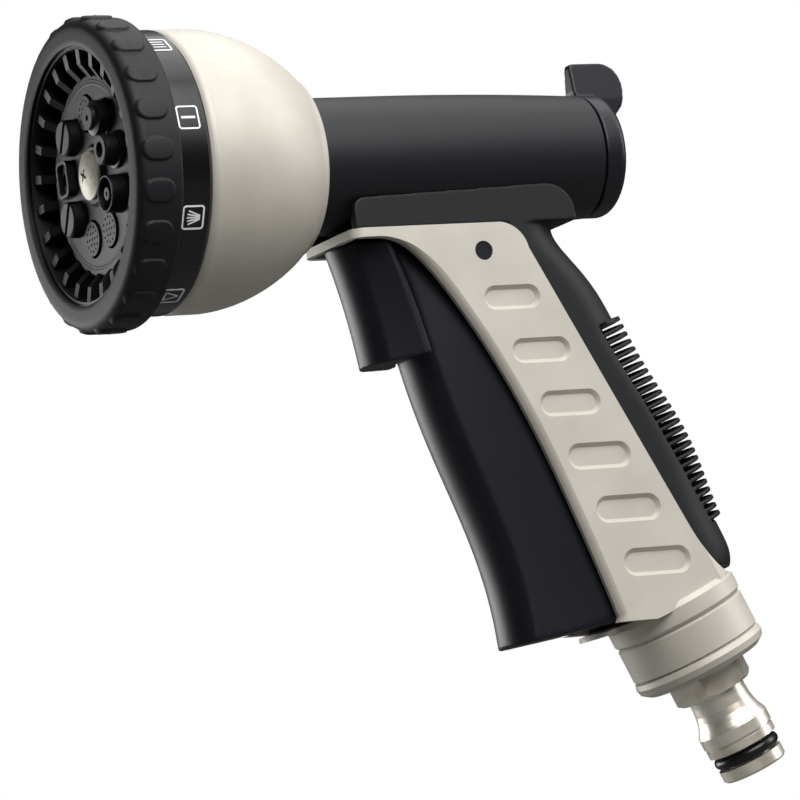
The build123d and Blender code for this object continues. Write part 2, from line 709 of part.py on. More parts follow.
def pivot_caps():
    """Two round caps that cover the ends of the pivot pin."""
    left = rod_y(PIN_CAP_R, -14.0, -12.9, PIVOT_X, PIVOT_Z)
    return Compound(children=[left, mirror(left, Plane.XZ)])


def pivot_washers():
    """Spacers between the trigger's ears and the frame."""
    ring = rod_y(3.6, -11.6, -10.95, PIVOT_X, PIVOT_Z) - rod_y(PIN_R, -12, -10, PIVOT_X, PIVOT_Z)
    return Compound(children=[ring, mirror(ring, Plane.XZ)])


# --- soft grip and its core --------------------------------------------------

# heights with the front and the rear of the grip there
GRIP_STATIONS = [
    (-12.0, 80.0, 101.2),
    (-26.5, 83.0, 102.4),
    (-36.0, 86.0, 108.6),
    (-47.0, 91.0, 113.4),
    (-60.0, 97.0, 120.4),
    (-74.0, 103.0, 126.4),
    (-88.0, 109.5, 130.6),
    (-99.6, 116.0, 133.0),
]


def grip_section(station, inset, bulge):
    """Section of the grip across Z: straight sides and an elliptical back."""
    z, front, rear = station
    half = GRIP_Y - inset
    reach = rear - inset + bulge
    shoulder = max(front + 2.0, rear - 13.0)
    back = EllipticalCenterArc((shoulder, 0, z), reach - shoulder, half, start_angle=-90, arc_size=180)
    edges = [
        back,
        Line((shoulder, half, z), (front, half, z)),
        Line((front, half, z), (front, -half, z)),
        Line((front, -half, z), (shoulder, -half, z)),
    ]
    return make_face(edges)


def grip_loft(inset=0.0, bulge=0.0):
    """Smooth body of the back grip, pulled in by an inset or swollen at the back."""
    return loft([grip_section(station, inset, bulge) for station in GRIP_STATIONS])


def saddle():
    """Side skirts of the grip that wrap the underside of the barrel."""
    y = -GRIP_Y
    edges = [
        Line((42.4, y, -17.1), (42.4, y, -12.6)),
        ThreePointArc((42.4, y, -12.6), (43.3, y, -10.6), (45.4, y, -9.8)),
        Line((45.4, y, -9.8), (91.5, y, -8.2)),
        ThreePointArc((91.5, y, -8.2), (96.6, y, -9.9), (98.9, y, -13.6)),
        Line((98.9, y, -13.6), (99.2, y, -16.0)),
        Line((99.2, y, -16.0), (99.2, y, -17.1)),
        Line((99.2, y, -17.1), (42.4, y, -17.1)),
    ]
    return extrude(make_face(edges), amount=2 * GRIP_Y, dir=(0, 1, 0))


RIB_COUNT = 27
RIB_PITCH = 1.96
RIB_THICK = 1.0
RIB_TILT = 20.6             # degrees that the ribs rise towards the rear
RIB_SLIP = 0.118            # how much each rib starts further back, per mm down the grip
RIB_TIP = 2.6               # height of the ribs' tips over the grip's stations
RIB_FLOOR = 3.4             # depth of the grip's back between the ribs
CORE_INSET = 4.6
CORE_LOW_Z = -95.0
rib_down = (sin(radians(RIB_TILT)), -cos(radians(RIB_TILT)))
rib_rear = (cos(radians(RIB_TILT)), sin(radians(RIB_TILT)))
rib_first = (101.9, -43.2)  # where the first rib starts on the side


def rib_start(run):
    """(x, z) where a rib starts on the grip's side, at a distance down from the first one."""
    x = rib_first[0] + rib_down[0] * run + rib_rear[0] * RIB_SLIP * run
    z = rib_first[1] + rib_down[1] * run + rib_rear[1] * RIB_SLIP * run
    return x, z


def ribs():
    """Thin fins down the back of the grip, square to its slanting back."""
    swollen = grip_loft(0.0, RIB_TIP)
    fins = []
    for index in range(RIB_COUNT):
        x, z = rib_start(RIB_PITCH * index)
        plane = Plane(origin=(x - 0.6, 0, z), x_dir=(rib_rear[0], 0, rib_rear[1]),
                      z_dir=(-rib_down[0], 0, -rib_down[1]))
        slab = plane * Box(40, 22.4, RIB_THICK, align=(Align.MIN, Align.CENTER, Align.CENTER))
        fins.append(swollen & slab)
    return fins


def rib_gap():
    """Space round the back of the grip that the ribs stand in."""
    top = rib_start(-0.9)
    low = rib_start(RIB_PITCH * (RIB_COUNT - 1) + 0.9)
    far = 40
    outline = [top, (top[0] + rib_rear[0] * far, top[1] + rib_rear[1] * far),
               (low[0] + rib_rear[0] * far, low[1] + rib_rear[1] * far), low]
    return side_slab(outline, -20, 20) - grip_loft(RIB_FLOOR)


def tube_envelope():
    """Outside of the water body, used to hollow the parts around it."""
    space = rod_s(TUBE_R, 46.0, 140) + rod_x(VALVE_R, VALVE_FRONT_X, VALVE_PLUG_END_X + 0.1, 0, VALVE_Z)
    return space + Pos(RISER_X, 0, -20) * Cylinder(RISER_R, 44)


def behind_handle_axis(offset):
    """Half space behind the handle axis, shifted by an offset."""
    top = on_handle(-30, offset)
    low = on_handle(150, offset)
    return side_slab([top, (170, top[1]), (170, low[1]), low], -30, 30)


def grip_core():
    """Hard core under the soft grip, behind the water tube."""
    core = grip_loft(CORE_INSET) & behind_handle_axis(0.5)
    core = core & block(70, 140, -11.6, 11.6, CORE_LOW_Z, -19.0)
    return core - tube_envelope() - sleeve_outline_solid()





def soft_grip(outside):
    """Soft grip: saddle under the barrel, ribbed back, with the core's space cut out."""
    grip = grip_loft() & behind_handle_axis(0.5)
    grip = grip - rib_gap()
    core = grip_loft(CORE_INSET) & block(70, 140, -11.6, 11.6, CORE_LOW_Z, -19.0)
    grip = grip + ribs()
    grip = grip - core
    grip = grip + saddle()
    notch = rod_y(1.7, -20, 20, 101.6, -19.6)
    inside_saddle = block(40, 80, -10.6, 10.6, -17.2, -12.0)
    grip = grip - notch - inside_saddle - outside - tube_envelope() - sleeve_outline_solid()
    return biggest(grip)


def biggest(shape):
    """The largest solid of a cut body, without loose slivers."""
    return shape.solids().sort_by(lambda s: s.volume)[-1]


# --- trigger ---------------------------------------------------------------

# heights with the front and the rear of the lever there
LEVER_STATIONS = [
    (-20.9, 49.0, 77.8),
    (-48.8, 56.9, 77.0),
    (-75.0, 64.5, 88.0),
    (-93.0, 70.1, 94.6),
    (-104.0, 72.2, 98.0),
    (-115.0, 73.0, 99.0),
]


def lever_section(station, grow, rear_grow):
    """Section of the lever across Z: round nose and one flat facet on each side."""
    z, front, rear = station
    nose = front - grow
    rear = rear + rear_grow
    half = LEVER_Y + grow
    left = [(nose + 4.6, -(8.8 + 0.8 * grow), z), (rear, -half, z)]
    right = [(x, -y, z) for x, y, z in reversed(left)]
    edges = [
        ThreePointArc(right[-1], (nose, 0, z), left[0]),
        Line(left[0], left[1]),
        Line(left[1], right[0]),
        Line(right[0], right[1]),
    ]
    return make_face(edges)


def lever_loft(grow=0.0, rear_grow=0.0):
    """Body of the lever, grown or shrunk all round by a distance."""
    return loft([lever_section(station, grow, rear_grow) for station in LEVER_STATIONS])


def lever_bottom():
    """Space below the lever's slanting bottom edge, with the sides' bevel."""
    edges = [
        Line((60, 0, -112.4), (72.5, 0, -112.4)),
        ThreePointArc((72.5, 0, -112.4), (72.95, 0, -113.6), (74.2, 0, -114.05)),
        Line((74.2, 0, -114.05), (96.8, 0, -111.05)),
        ThreePointArc((96.8, 0, -111.05), (97.6, 0, -110.5), (98.1, 0, -109.6)),
        Line((98.1, 0, -109.6), (110, 0, -109.6)),
        Line((110, 0, -109.6), (110, 0, -125)),
        Line((110, 0, -125), (60, 0, -125)),
        Line((60, 0, -125), (60, 0, -112.4)),
    ]
    space = extrude(make_face(edges), amount=20, dir=(0, 1, 0), both=True)
    bevel = make_face(Polyline((-13, -1), (-13, 3.0), (-11.0, 3.0), (-9.4, -1), close=True))
    along = Plane(origin=(66, 0, -115.1), x_dir=(0, 1, 0), z_dir=(22.6, 0, 3.0))
    bevel = along * extrude(bevel, amount=40)
    return space + bevel + mirror(bevel, Plane.XZ)


def trigger_lever():
    """Long trigger: a channel open to the rear, with pivot ears and a push boss."""
    lever = lever_loft() - lever_bottom()
    hollow = lever_loft(-2.2, 4.0) & block(40, 110, -LEVER_INNER_Y, LEVER_INNER_Y, -111.5, -23.2)
    hollow = hollow - side_slab([(60, -110.6), (92, -108.6), (92, -120), (60, -120)], -20, 20)
    lever = lever - hollow
    lever = lever - block(76.0, 90, -LEVER_INNER_Y, LEVER_INNER_Y, -26, -20)
    heel = side_slab([(92, -100), (92, -120), (110, -120), (110, -100)], -LEVER_INNER_Y, LEVER_INNER_Y)
    lever = lever - heel
    boss = rod_x(3.2, 56.0, 69.2, 0, VALVE_Z)
    lever = lever + boss
    return lever - rod_y(PIN_R + RUNNING_FIT, -15, 15, PIVOT_X, PIVOT_Z)


LOCK_STATIONS = [
    (-19.5, 41.0, 51.6),
    (-34.0, 44.4, 55.9),
    (-47.2, 46.3, 58.9),
]
LOCK_TRAVEL = 5.0
LOCK_STEPS = 5              # positions of the slide at which the lock clears the lever
LOCK_GAP = 0.65
LOCK_SLIDE = Vector(0.21, 0, -0.978)


def lock_section(station):
    """Section of the trigger lock across Z: round nose and slanting flats."""
    z, front, rear = station
    left = [(front + 3.4, -7.4, z), (rear - 1.4, -11.4, z), (rear, -11.4, z)]
    right = [(x, -y, z) for x, y, z in reversed(left)]
    edges = [
        ThreePointArc(right[-1], (front, 0, z), left[0]),
        Line(left[0], left[1]),
        Line(left[1], left[2]),
        Line(left[2], right[0]),
        Line(right[0], right[1]),
        Line(right[1], right[2]),
    ]
    return make_face(edges)


def trigger_lock():
    """Finger slide on the lever's nose that locks the trigger when pushed down."""
    lock = loft([lock_section(station) for station in LOCK_STATIONS])
    lock = lock - side_slab([(30, -48.6), (46.9, -47.3), (60, -46.0), (60, -60), (30, -60)], -20, 20)
    lever_space = lever_loft(LOCK_GAP, 4.0)
    for step in range(LOCK_STEPS + 1):
        travel = LOCK_SLIDE * (-LOCK_TRAVEL * step / LOCK_STEPS)
        lock = lock - Pos(*travel) * lever_space
    return biggest(lock)


# --- valve -----------------------------------------------------------------

def valve_stem():
    """Push rod with the plunger that opens the valve."""
    stem = rod_x(STEM_R, 69.6, 89.2, 0, VALVE_Z) + rod_x(4.9, 89.2, 91.0, 0, VALVE_Z)
    return stem + rod_x(2.6, 91.0, 95.0, 0, VALVE_Z)


def stem_seal():
    """Rubber washer on the plunger that closes on the seat."""
    return pipe_x(4.9, STEM_R, SEAT_REAR_X + 0.05, 89.2, 0, VALVE_Z)


def stem_o_ring():
    """Seal round the stem in the chamber's front wall."""
    ring = Rot(0, 90, 0) * Torus(3.05, 0.78)
    return Pos(VALVE_FRONT_X + 1.3, 0, VALVE_Z) * ring


def valve_plug():
    """Plug that closes the valve chamber from the rear."""
    plug = rod_x(VALVE_BORE_R, 98.4, VALVE_REAR_X, 0, VALVE_Z)
    return plug + rod_x(VALVE_CAP_R, VALVE_REAR_X, VALVE_PLUG_END_X, 0, VALVE_Z)


# --- hose end --------------------------------------------------------------

def collar():
    """Painted end collar under the frame, grooved near its lower lip."""
    ring = turned_on_handle([
        (TUBE_R, COLLAR_TOP_S), (15.2, COLLAR_TOP_S), (COLLAR_R, COLLAR_TOP_S + 0.7),
        (COLLAR_R, COLLAR_GROOVE_S - 0.4), (15.3, COLLAR_GROOVE_S), (COLLAR_R, COLLAR_GROOVE_S + 0.4),
        (16.35, COLLAR_GROOVE_S + 1.6), (15.9, COLLAR_END_S - 1.4), (14.2, COLLAR_END_S - 0.2),
        (13.0, COLLAR_END_S), (9.0, COLLAR_END_S), (9.0, TUBE_END_S), (TUBE_R, TUBE_END_S)])
    return ring


NIPPLE_BORE_R = 4.2
SEAL_FLOOR_R = 5.4          # floor of the O-ring's groove
HEX_PHASE = 11.0            # degrees from the handle's fore-and-aft plane to the first corner


def hose_nipple():
    """Plated quick-connect nipple with its hexagon."""
    body = turned_on_handle([
        (4.8, 124.2), (8.9, 124.2), (8.9, 133.3), (6.9, 133.3), (6.9, 140.6), (7.05, 142.6), (7.35, 144.2),
        (7.8, 145.6), (8.5, 146.9), (8.7, 147.6), (8.7, 150.2), (8.2, 150.35), (8.2, 150.75),
        (8.5, 150.9), (8.45, 152.7), (SEAL_FLOOR_R, 152.8), (SEAL_FLOOR_R, TIP_TOP_S), (TIP_R, TIP_TOP_S),
        (TIP_R, TIP_END_S - TIP_CHAMFER), (TIP_R - TIP_CHAMFER, TIP_END_S), (NIPPLE_BORE_R, TIP_END_S),
        (NIPPLE_BORE_R, 134.4), (4.8, 134.4)])
    across_flats = 17.4
    outline = RegularPolygon(across_flats / 2, 6, major_radius=False, rotation=HEX_PHASE)
    hexagon = extrude(outline, HEX_END_S - 133.3)
    crown = revolve(make_face(Polyline((0, 0, 0), (9.3, 0, 0), (10.3, 0, 0.8), (10.3, 0, 4.4),
                                       (8.6, 0, 5.5), (0, 0, 5.5), close=True)), Axis.Z, 360)
    nut = handle_plane * Pos(0, 0, 133.3) * (hexagon & crown)
    return body + (nut - rod_s(4.8, 120, 140))


def nipple_o_ring():
    """Thick seal near the tip of the nipple, standing a little proud of it."""
    return handle_plane * Pos(0, 0, (152.8 + TIP_TOP_S) / 2) * Torus(SEAL_FLOOR_R + 1.4, 1.36)


def inlet_washer():
    """Flat rubber washer between the handle tube and the nipple."""
    return rod_s(8.8, TUBE_END_S, 124.2) - rod_s(TUBE_BORE_R, 120, 126)


def inlet_filter():
    """Small cup strainer in the nipple's bore."""
    cup = rod_s(4.75, 126.0, 134.0) - rod_s(4.0, 125.0, 133.2)
    for step in range(4):
        s = 127.6 + 1.5 * step
        cross = handle_plane * Pos(0, 0, s) * (Box(12, 1.6, 0.7) + Box(1.6, 12, 0.7))
        cup = cup - cross
    return cup


# --- build -----------------------------------------------------------------

def main():
    """Build every part and write one STEP file for each."""
    os.makedirs("parts", exist_ok=True)
    spots = outlet_spots()
    save("head_shell", head_shell())
    save("index_ring", index_ring())
    save("soft_ring", soft_ring())
    save("spray_plate", spray_plate())
    save("turret_back_plate", back_plate())
    save("jet_insert", jet_insert(spots[JET]))
    save("ring_insert", ring_insert(spots[RING_JET]))
    save("cone_insert", cone_insert(spots[DISC_JET]))
    save("fan_inserts", Compound(children=[fan_insert(spots[FAN_A]), fan_insert(spots[FAN_B])]))
    save("square_insert", square_insert(spots[SQUARE]))
    save("port_plate", port_plate())
    save("outlet_seal", outlet_seal())
    save("click_ball", click_ball())
    y, z = at_angle(CLICK_R, OUTLET_START)
    save("click_spring", coil(1.1, 0.2, -4.7, -3.9, 1.2, y, z))
    save("turret_screw", turret_screw())
    save("screw_washer", screw_washer())
    save("post_o_ring", post_o_ring())
    save("barrel_sleeve", barrel_sleeve())
    save("water_body", water_body())
    save("port_screws", port_screws())
    save("barrel_plug", barrel_plug())
    save("spindle_o_ring", spindle_o_ring())
    save("flow_spindle", flow_spindle())
    save("flow_knob", flow_knob())
    save("knob_screw", knob_screw())
    outside = frame_outside()
    frame = frame_whole(outside)
    save("frame_left", frame_half(frame, -1))
    save("frame_right", frame_half(frame, 1))
    save("pivot_pin", pivot_pin())
    save("pivot_caps", pivot_caps())
    save("pivot_washers", pivot_washers())
    save("grip_core", grip_core())
    save("soft_grip", soft_grip(outside))
    save("trigger_lever", trigger_lever())
    save("trigger_lock", trigger_lock())
    save("valve_stem", valve_stem())
    save("stem_seal", stem_seal())
    save("stem_o_ring", stem_o_ring())
    save("valve_plug", valve_plug())
    save("valve_spring", coil(4.0, 0.35, 91.1, 98.3, 5.0, 0.0, VALVE_Z))
    save("collar", collar())
    save("hose_nipple", hose_nipple())
    save("nipple_o_ring", nipple_o_ring())
    save("inlet_washer", inlet_washer())
    save("inlet_filter", inlet_filter())


main()
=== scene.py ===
"""Looks for the hose spray nozzle: materials, detailed pieces, studio light and camera round the CAD frame.

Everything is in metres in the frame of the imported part: the barrel runs along X with the spray head at -X,
Z is up, and the origin is in the tip of the hose nipple.
"""
import json
import math

import bmesh
import bpy
from mathutils import Matrix, Vector


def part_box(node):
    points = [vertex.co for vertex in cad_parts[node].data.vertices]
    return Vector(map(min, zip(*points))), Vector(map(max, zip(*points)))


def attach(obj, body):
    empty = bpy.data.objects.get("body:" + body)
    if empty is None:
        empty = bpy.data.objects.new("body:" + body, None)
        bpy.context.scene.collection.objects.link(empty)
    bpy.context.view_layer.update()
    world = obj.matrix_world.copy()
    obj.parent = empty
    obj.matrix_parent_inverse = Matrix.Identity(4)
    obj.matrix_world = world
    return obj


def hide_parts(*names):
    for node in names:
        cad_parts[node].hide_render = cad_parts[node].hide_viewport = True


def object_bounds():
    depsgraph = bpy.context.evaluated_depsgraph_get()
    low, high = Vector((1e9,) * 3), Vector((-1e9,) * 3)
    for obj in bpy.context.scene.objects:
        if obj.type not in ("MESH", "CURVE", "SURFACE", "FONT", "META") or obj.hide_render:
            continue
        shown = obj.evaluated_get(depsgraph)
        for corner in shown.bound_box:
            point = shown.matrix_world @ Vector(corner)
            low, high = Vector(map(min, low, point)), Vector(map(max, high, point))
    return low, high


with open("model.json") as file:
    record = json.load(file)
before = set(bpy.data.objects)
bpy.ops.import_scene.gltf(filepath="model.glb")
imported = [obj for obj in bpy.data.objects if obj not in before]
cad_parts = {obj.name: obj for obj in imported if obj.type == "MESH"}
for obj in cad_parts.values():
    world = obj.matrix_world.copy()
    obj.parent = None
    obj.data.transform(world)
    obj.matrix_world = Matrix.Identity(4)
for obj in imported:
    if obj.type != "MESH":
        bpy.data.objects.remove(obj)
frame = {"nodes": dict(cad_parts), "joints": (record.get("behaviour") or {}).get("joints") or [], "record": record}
CAD_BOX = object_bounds()

MM = 0.001
JOINTS = {joint["name"]: joint for joint in frame["joints"]}
BARREL = Vector(JOINTS["turret_turn"]["pos_m"])
SLOT_OF = {part["node"]: part["material_slot"] for part in frame["record"]["subparts"]}


# ---------- node helpers ----------

class Shader:
    """A material's node tree, with short calls for the nodes that the finishes share."""

    def __init__(self, name):
        self.material = bpy.data.materials.new(name)
        self.material.use_nodes = True
        self.tree = self.material.node_tree
        self.bsdf = self.tree.nodes["Principled BSDF"]
        self.where = self.add("ShaderNodeTexCoord").outputs["Object"]

    def add(self, kind):
        return self.tree.nodes.new(kind)

    def link(self, output, target):
        self.tree.links.new(output, target)

    def set(self, **values):
        """Sets the shader's own sockets: Coat_Weight=0.1 and so on."""
        for key, value in values.items():
            self.bsdf.inputs[key.replace("_", " ")].default_value = value

    def stretched(self, scale):
        """Object coordinates scaled by a different amount each way."""
        node = self.add("ShaderNodeMapping")
        node.inputs["Scale"].default_value = scale
        self.link(self.where, node.inputs["Vector"])
        return node.outputs["Vector"]

    def noise(self, size, detail=3.0, roughness=0.5, where=None):
        """Noise whose features are about size metres across, from 0 to 1."""
        node = self.add("ShaderNodeTexNoise")
        node.inputs["Scale"].default_value = 1 / size
        node.inputs["Detail"].default_value = detail
        node.inputs["Roughness"].default_value = roughness
        self.link(where or self.where, node.inputs["Vector"])
        return node.outputs["Fac"]

    def grains(self, size):
        """Cells about size metres across: 0 at each cell's middle."""
        node = self.add("ShaderNodeTexVoronoi")
        node.inputs["Scale"].default_value = 1 / size
        self.link(self.where, node.inputs["Vector"])
        return node.outputs["Distance"]

    def ramp(self, value, stops):
        """Colours along a value; stops are (position, colour)."""
        node = self.add("ShaderNodeValToRGB")
        ramp = node.color_ramp
        while len(ramp.elements) < len(stops):
            ramp.elements.new(0.5)
        for element, (position, colour) in zip(ramp.elements, stops):
            element.position = position
            element.color = colour
        self.link(value, node.inputs["Fac"])
        return node.outputs["Color"]

    def between(self, value, low, high):
        """Maps a 0 to 1 value onto low to high."""
        node = self.add("ShaderNodeMapRange")
        node.inputs["To Min"].default_value = low
        node.inputs["To Max"].default_value = high
        self.link(value, node.inputs["Value"])
        return node.outputs["Result"]

    def bump(self, *layers):
        """Layers are (height, strength, depth in metres); each adds to the one before."""
        normal = None
        for height, strength, depth in layers:
            node = self.add("ShaderNodeBump")
            node.inputs["Strength"].default_value = strength
            node.inputs["Distance"].default_value = depth
            self.link(height, node.inputs["Height"])
            if normal is not None:
                self.link(normal, node.inputs["Normal"])
            normal = node.outputs["Normal"]
        self.link(normal, self.bsdf.inputs["Normal"])


def rgb(red, green, blue):
    """A colour from display values of 0 to 255."""
    def linear(value):
        value /= 255
        return value / 12.92 if value <= 0.04045 else ((value + 0.055) / 1.055) ** 2.4
    return (linear(red), linear(green), linear(blue), 1.0)


def champagne_paint():
    """Satin metallic paint with a fine flake."""
    paint = Shader("champagne_paint")
    cloud = paint.noise(14 * MM, 4)
    colour = paint.ramp(cloud, ((0.3, rgb(176, 171, 161)), (0.7, rgb(186, 181, 171))))
    paint.link(colour, paint.bsdf.inputs["Base Color"])
    paint.set(Metallic=0.2, Coat_Weight=0.1, Coat_Roughness=0.4)
    flake = paint.grains(0.22 * MM)
    paint.link(paint.between(flake, 0.48, 0.60), paint.bsdf.inputs["Roughness"])
    paint.bump((flake, 0.16, 0.012 * MM), (paint.noise(0.9 * MM, 2), 0.06, 0.05 * MM))
    return paint.material


def black_plastic(name, level, rough, grain, depth, coat=0.0):
    """Moulded plastic or rubber: a spark-eroded grain over faint cloudiness."""
    skin = Shader(name)
    cloud = skin.noise(9 * MM, 4)
    low = rgb(*(channel * 0.92 for channel in level))
    skin.link(skin.ramp(cloud, ((0.3, low), (0.7, rgb(*level)))), skin.bsdf.inputs["Base Color"])
    texture = skin.noise(grain, 3, 0.6)
    skin.link(skin.between(texture, rough - 0.05, rough + 0.06), skin.bsdf.inputs["Roughness"])
    skin.set(Coat_Weight=coat, Coat_Roughness=0.1, Specular_IOR_Level=0.32)
    skin.bump((texture, 0.35, depth))
    return skin.material


def nickel_plate():
    """Cast brass, plated: cloudy from warm to bright."""
    plate = Shader("nickel_plate")
    cloud = plate.noise(6 * MM, 5)
    tarnish, plain, bright = rgb(196, 183, 163), rgb(222, 216, 204), rgb(236, 232, 224)
    colour = plate.ramp(cloud, ((0.28, tarnish), (0.5, plain), (0.75, bright)))
    plate.link(colour, plate.bsdf.inputs["Base Color"])
    plate.set(Metallic=0.75)
    cast = plate.noise(0.35 * MM, 3, 0.6)
    plate.link(plate.between(cast, 0.27, 0.44), plate.bsdf.inputs["Roughness"])
    plate.bump((cast, 0.12, 0.02 * MM))
    return plate.material


def bright_steel():
    """Drawn steel with a faint lengthwise brushing."""
    steel = Shader("bright_steel")
    cloud = steel.noise(2 * MM, 4)
    colour = steel.ramp(cloud, ((0.3, rgb(196, 196, 194)), (0.7, rgb(220, 220, 218))))
    steel.link(colour, steel.bsdf.inputs["Base Color"])
    steel.set(Metallic=1.0)
    brushed = steel.noise(0.2 * MM, 2, 0.5, steel.stretched((1, 0.2, 1)))
    steel.link(steel.between(brushed, 0.16, 0.30), steel.bsdf.inputs["Roughness"])
    steel.bump((brushed, 0.1, 0.01 * MM))
    return steel.material


def pearl_screw():
    """The centre screw's pale satin plating."""
    screw = Shader("screw_head")
    cloud = screw.noise(1.2 * MM, 4)
    colour = screw.ramp(cloud, ((0.35, rgb(178, 172, 160)), (0.65, rgb(200, 195, 184))))
    screw.link(colour, screw.bsdf.inputs["Base Color"])
    screw.set(Metallic=0.35)
    grain = screw.noise(0.18 * MM, 3, 0.6)
    screw.link(screw.between(grain, 0.42, 0.58), screw.bsdf.inputs["Roughness"])
    screw.bump((grain, 0.3, 0.02 * MM))
    return screw.material


FINISHES = {
    "screw_head": pearl_screw(),
    "champagne_paint": champagne_paint(),
    "soft_touch_black": black_plastic("soft_touch_black", (5, 6, 11), 0.58, 0.16 * MM, 0.03 * MM),
    "satin_black": black_plastic("satin_black", (13, 14, 23), 0.40, 0.22 * MM, 0.02 * MM),
    "barrel_black": black_plastic("barrel_black", (7, 8, 14), 0.50, 0.20 * MM, 0.03 * MM),
    "moulded_black": black_plastic("moulded_black", (13, 14, 17), 0.48, 0.20 * MM, 0.03 * MM),
    "gloss_black": black_plastic("gloss_black", (4, 4, 6), 0.30, 0.6 * MM, 0.004 * MM, 0.12),
    "inner_plastic": black_plastic("inner_plastic", (92, 93, 96), 0.5, 0.2 * MM, 0.02 * MM),
    "seal_rubber": black_plastic("seal_rubber", (18, 18, 18), 0.28, 0.3 * MM, 0.006 * MM),
    "nickel_plate": nickel_plate(),
    "steel": bright_steel(),
}

# Nodes whose finish is a little different from the rest of their slot.
OWN_FINISH = {"barrel_sleeve": "barrel_black", "turret_screw": "screw_head"}

for name, node in frame["nodes"].items():
    node.data.materials.clear()
    node.data.materials.append(FINISHES[OWN_FINISH.get(name, SLOT_OF[name])])


# ---------- mesh helpers ----------

SHARP_DEGREES = 40         # edges sharper than this aren't smoothed


def piece(name, mesh_maker, body, slot, stands_for=(), finish=None):
    """Makes an object from a filled bmesh, gives it a finish and puts it on a body."""
    bm = bmesh.new()
    mesh_maker(bm)
    bmesh.ops.recalc_face_normals(bm, faces=bm.faces)
    mesh = bpy.data.meshes.new(name)
    bm.to_mesh(mesh)
    bm.free()
    made = bpy.data.objects.new(name, mesh)
    bpy.context.scene.collection.objects.link(made)
    mesh.materials.append(finish or FINISHES[slot])
    mesh.polygons.foreach_set("use_smooth", [True] * len(mesh.polygons))
    mesh.set_sharp_from_angle(angle=math.radians(SHARP_DEGREES))
    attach(made, body)
    if stands_for:
        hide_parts(*stands_for)


def round_barrel(x, radius, angle):
    """The point at x, a radius and an angle from +Y towards +Z about the barrel axis."""
    return Vector((x, BARREL.y + radius * math.cos(angle), BARREL.z + radius * math.sin(angle)))


def joined_rings(bm, rings):
    """Quads between neighbouring closed rings of vertices, and from the last ring back to the first."""
    for ring, following in zip(rings, rings[1:] + rings[:1]):
        count = len(ring)
        for k in range(count):
            bm.faces.new((ring[k], ring[(k + 1) % count], following[(k + 1) % count], following[k]))


def ease(value):
    """Smooth step from 0 to 1 over values from 0 to 1."""
    value = min(1.0, max(0.0, value))
    return value * value * (3 - 2 * value)


# ---------- the soft ring of the spray head ----------

RING_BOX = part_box("soft_ring")
RING_FRONT = RING_BOX[0].x
RING_LENGTH = RING_BOX[1].x - RING_FRONT
RING_R = 35.3 * MM
WELL_R = 29.1 * MM         # the ring's inside, round the spray plate
CARRIER_R = 31.4 * MM      # the index ring that it is moulded on

PAD_COUNT = 24
PAD_STEP = 360 / PAD_COUNT
PAD_START = 2.4            # degrees from +Y to the first pad
PAD_X = 4.8 * MM           # middle of the pads, behind the ring's front
PAD_END_R = 2.64 * MM      # radius of a pad's rounded ends
PAD_STRAIGHT = 1.25 * MM   # half the straight part between them
PAD_WALL = 0.40 * MM       # width of the sloping wall
PAD_HEIGHT = 0.62 * MM

RIDGE_X = 5.0 * MM         # the parting ridge
RIDGE_WIDTH = 0.14 * MM
RIDGE_HEIGHT = 0.07 * MM

NOSE_R = 2.6 * MM          # rounding at the ring's front
HEEL_R = 0.9 * MM          # and at its rear


def pad_height(along, across):
    """Height of a low crowned stadium over the ring, at a place measured from the pad's middle."""
    reach = math.hypot(max(abs(along) - PAD_STRAIGHT, 0), across)
    edge = ease((PAD_END_R - reach) / PAD_WALL)
    crown = 1 - 0.15 * min(1.0, reach / (2.6 * MM)) ** 2
    return PAD_HEIGHT * edge * crown


def relief(x, angle):
    """Height over the ring's outside of the nearest finger pad and of the parting ridge."""
    near = (math.degrees(angle) - PAD_START + PAD_STEP / 2) % PAD_STEP - PAD_STEP / 2
    ridge = RIDGE_HEIGHT * math.exp(-((x - RIDGE_X) / RIDGE_WIDTH) ** 2)
    return pad_height(x - PAD_X, math.radians(near) * RING_R) + ridge


def ring_section():
    """The ring's section as (x behind its front, radius, whether the relief is on it)."""
    section = [(0.9 * MM, CARRIER_R, False), (0.9 * MM, WELL_R, False),
               (0.25 * MM, WELL_R + 0.1 * MM, False)]
    section += [(0.0, radius * MM, False) for radius in (29.8, 30.6, 31.4, 32.1)]
    nose_steps, rows, heel_steps = 12, 76, 8
    for step in range(1, nose_steps + 1):
        turn = math.radians(90 * step / nose_steps)
        section.append((NOSE_R - NOSE_R * math.cos(turn), RING_R - NOSE_R + NOSE_R * math.sin(turn), True))
    flat = RING_LENGTH - NOSE_R - HEEL_R
    section += [(NOSE_R + flat * step / rows, RING_R, True) for step in range(1, rows)]
    for step in range(heel_steps + 1):
        turn = math.radians(90 * step / heel_steps)
        section.append((RING_LENGTH - HEEL_R + HEEL_R * math.sin(turn),
                        RING_R - HEEL_R + HEEL_R * math.cos(turn), True))
    section.append((RING_LENGTH, CARRIER_R, False))
    return section


def soft_ring_mesh(bm):
    """The turned section with its finger pads and the fine ridge where the mould's halves met."""
    columns = PAD_COUNT * 44
    rings = []
    for x, radius, raised in ring_section():
        ring = []
        for column in range(columns):
            angle = math.radians(360 * column / columns)
            lift = relief(x, angle) if raised else 0.0
            ring.append(bm.verts.new(round_barrel(RING_FRONT + x, radius + lift, angle)))
        rings.append(ring)
    joined_rings(bm, rings)


piece("soft_ring_detailed", soft_ring_mesh, "turret", "soft_touch_black", ("soft_ring",))


# ---------- marks on the index ring ----------

